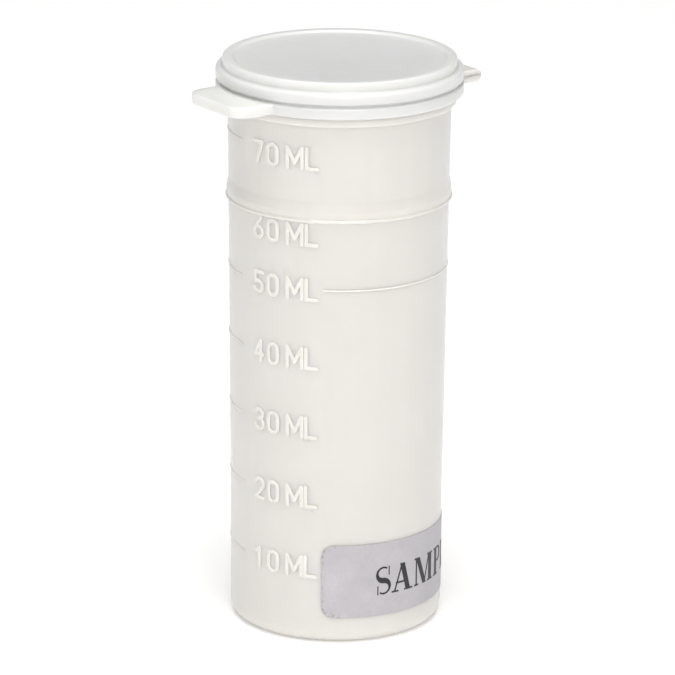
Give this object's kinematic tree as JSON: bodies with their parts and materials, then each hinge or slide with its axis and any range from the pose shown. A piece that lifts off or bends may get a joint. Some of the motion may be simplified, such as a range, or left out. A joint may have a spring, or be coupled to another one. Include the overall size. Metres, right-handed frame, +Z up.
{
  "type": "sample vial",
  "caption": "Translucent graduated sample vial with a snap lid on a living hinge, a thumb tab, a rack band and a printed label.",
  "frame": {"origin": "centre of the base on the surface that the vial stands on", "axes": "+Z up the vial, -Y towards the thumb tab, +Y towards the hinge"},
  "size_m": [0.04, 0.0504, 0.0944],
  "materials": {
    "vial_plastic": "satin translucent polypropylene, milky white",
    "lid_plastic": "satin translucent polypropylene, milky white",
    "hinge_plastic": "thin flexed polypropylene, milky white",
    "raised_marks": "the same polypropylene, moulded proud",
    "label_stock": "silver-grey coated label stock",
    "label_ink": "black print"
  },
  "bodies": {
    "vial": {"vial_tube": "vial_plastic", "collar_ring": "vial_plastic", "support_band": "vial_plastic", "graduation_ticks": "raised_marks", "fill_ring": "raised_marks", "numeral_10": "raised_marks", "numeral_20": "raised_marks", "numeral_30": "raised_marks", "numeral_40": "raised_marks", "numeral_50": "raised_marks", "numeral_60": "raised_marks", "numeral_70": "raised_marks", "hinge_body_leaf": "hinge_plastic", "hinge_fold": "hinge_plastic", "label_sheet": "label_stock", "label_print": "label_ink"},
    "lid": {"lid_panel": "lid_plastic", "rim_ring": "lid_plastic", "lid_skirt": "lid_plastic", "seal_plug": "lid_plastic", "thumb_tab": "lid_plastic", "hinge_lid_leaf": "hinge_plastic"}
  },
  "joints": [
    {"name": "lid_hinge", "type": "hinge", "parent": "vial", "child": "lid", "pos_m": [0, 0.02525, 0.0886], "axis": [-1, 0, 0], "range_deg": [0, 180], "deforming": ["hinge_fold"]}
  ]
}
